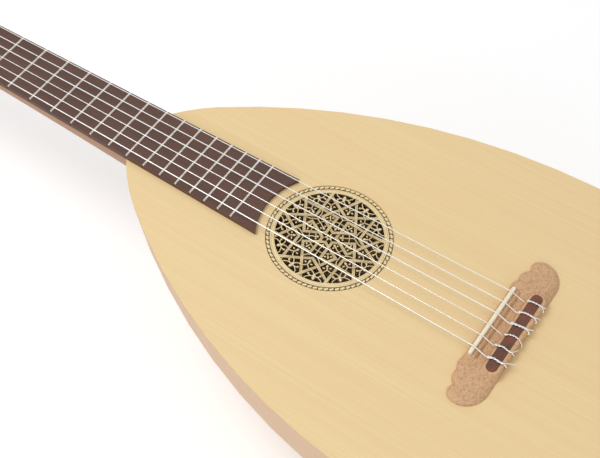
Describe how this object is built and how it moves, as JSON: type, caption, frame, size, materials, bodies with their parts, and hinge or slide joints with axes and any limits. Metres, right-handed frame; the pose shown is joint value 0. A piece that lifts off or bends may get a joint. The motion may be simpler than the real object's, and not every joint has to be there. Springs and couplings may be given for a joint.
{
  "type": "lute guitar",
  "caption": "Lute-shaped guitar with a ribbed bowl back, spruce soundboard with a pierced rose, tied bridge, fretted neck and a slotted head with geared tuners.",
  "frame": {"origin": "centre of the box in X and Y, on the plane that the bowl's lowest rib touches", "axes": "+X along the strings from the bridge to the head, +Y towards the bass side, +Z out of the soundboard"},
  "size_m": [0.9694, 0.3212, 0.1616],
  "materials": {
    "top_spruce": "thin satin varnish",
    "rose_spruce": "carved, thin satin varnish",
    "rib_pale": "satin varnish",
    "rib_warm": "satin varnish",
    "inner_spruce": "bare",
    "neck_cedar": "satin varnish",
    "rosewood": "oiled",
    "bridge_lacewood": "oiled",
    "bone": "polished bone",
    "fret_nickel": "polished nickel silver",
    "tuner_brass": "polished, lightly tarnished",
    "button_ivory": "polished",
    "string_nylon": "clear, smooth",
    "string_wound": "silver-plated winding"
  },
  "bodies": {
    "lute": {"soundboard": "top_spruce", "rose": "rose_spruce", "rib_1": "rib_pale", "rib_2": "rib_warm", "rib_3": "rib_pale", "rib_4": "rib_warm", "rib_5": "rib_pale", "rib_6": "rib_warm", "rib_7": "rib_pale", "rib_8": "rib_warm", "rib_9": "rib_pale", "end_clasp": "rib_warm", "tail_block": "inner_spruce", "neck_block": "inner_spruce", "neck": "neck_cedar", "headstock": "neck_cedar", "fingerboard": "rosewood", "fret_01": "fret_nickel", "fret_02": "fret_nickel", "fret_03": "fret_nickel", "fret_04": "fret_nickel", "fret_05": "fret_nickel", "fret_06": "fret_nickel", "fret_07": "fret_nickel", "fret_08": "fret_nickel", "fret_09": "fret_nickel", "fret_10": "fret_nickel", "fret_11": "fret_nickel", "fret_12": "fret_nickel", "fret_13": "fret_nickel", "fret_14": "fret_nickel", "fret_15": "fret_nickel", "fret_16": "fret_nickel", "fret_17": "fret_nickel", "fret_18": "fret_nickel", "fret_19": "fret_nickel", "nut": "bone", "bridge": "bridge_lacewood", "tie_block_inlay": "rosewood", "saddle": "bone", "tuner_plate_bass": "tuner_brass", "tuner_plate_treble": "tuner_brass", "string_1": "string_wound", "string_2": "string_wound", "string_3": "string_wound", "string_4": "string_nylon", "string_5": "string_nylon", "string_6": "string_nylon"},
    "worm_1": {"tuner_knob_1": "button_ivory"},
    "worm_2": {"tuner_knob_2": "button_ivory"},
    "worm_3": {"tuner_knob_3": "button_ivory"},
    "worm_4": {"tuner_knob_4": "button_ivory"},
    "worm_5": {"tuner_knob_5": "button_ivory"},
    "worm_6": {"tuner_knob_6": "button_ivory"},
    "gear_1": {"roller_1": "tuner_brass"},
    "gear_2": {"roller_2": "tuner_brass"},
    "gear_3": {"roller_3": "tuner_brass"},
    "gear_4": {"roller_4": "tuner_brass"},
    "gear_5": {"roller_5": "tuner_brass"},
    "gear_6": {"roller_6": "tuner_brass"}
  },
  "joints": [
    {"name": "knob_1_turn", "type": "hinge", "parent": "lute", "child": "worm_1", "pos_m": [0.37223, 0.0351, 0.1266], "axis": [0.2588, 0, 0.9659], "continuous": true},
    {"name": "knob_2_turn", "type": "hinge", "parent": "lute", "child": "worm_2", "pos_m": [0.40603, 0.0351, 0.11754], "axis": [0.2588, 0, 0.9659], "continuous": true},
    {"name": "knob_3_turn", "type": "hinge", "parent": "lute", "child": "worm_3", "pos_m": [0.43984, 0.0351, 0.10848], "axis": [0.2588, 0, 0.9659], "continuous": true},
    {"name": "knob_4_turn", "type": "hinge", "parent": "lute", "child": "worm_4", "pos_m": [0.37223, -0.0351, 0.1266], "axis": [0.2588, 0, 0.9659], "continuous": true},
    {"name": "knob_5_turn", "type": "hinge", "parent": "lute", "child": "worm_5", "pos_m": [0.40603, -0.0351, 0.11754], "axis": [0.2588, 0, 0.9659], "continuous": true},
    {"name": "knob_6_turn", "type": "hinge", "parent": "lute", "child": "worm_6", "pos_m": [0.43984, -0.0351, 0.10848], "axis": [0.2588, 0, 0.9659], "continuous": true},
    {"name": "roller_1_turn", "type": "hinge", "parent": "lute", "child": "gear_1", "pos_m": [0.36329, 0.013, 0.12899], "axis": [0, 1, 0], "continuous": true},
    {"name": "roller_2_turn", "type": "hinge", "parent": "lute", "child": "gear_2", "pos_m": [0.3971, 0.013, 0.11993], "axis": [0, 1, 0], "continuous": true},
    {"name": "roller_3_turn", "type": "hinge", "parent": "lute", "child": "gear_3", "pos_m": [0.43091, 0.013, 0.11088], "axis": [0, 1, 0], "continuous": true},
    {"name": "roller_4_turn", "type": "hinge", "parent": "lute", "child": "gear_4", "pos_m": [0.36329, -0.013, 0.12899], "axis": [0, 1, 0], "continuous": true},
    {"name": "roller_5_turn", "type": "hinge", "parent": "lute", "child": "gear_5", "pos_m": [0.3971, -0.013, 0.11993], "axis": [0, 1, 0], "continuous": true},
    {"name": "roller_6_turn", "type": "hinge", "parent": "lute", "child": "gear_6", "pos_m": [0.43091, -0.013, 0.11088], "axis": [0, 1, 0], "continuous": true}
  ],
  "couplings": [
    {"joint": "roller_1_turn", "follows": "knob_1_turn", "ratio": 0.071429},
    {"joint": "roller_2_turn", "follows": "knob_2_turn", "ratio": 0.071429},
    {"joint": "roller_3_turn", "follows": "knob_3_turn", "ratio": 0.071429},
    {"joint": "roller_4_turn", "follows": "knob_4_turn", "ratio": 0.071429},
    {"joint": "roller_5_turn", "follows": "knob_5_turn", "ratio": 0.071429},
    {"joint": "roller_6_turn", "follows": "knob_6_turn", "ratio": 0.071429}
  ]
}
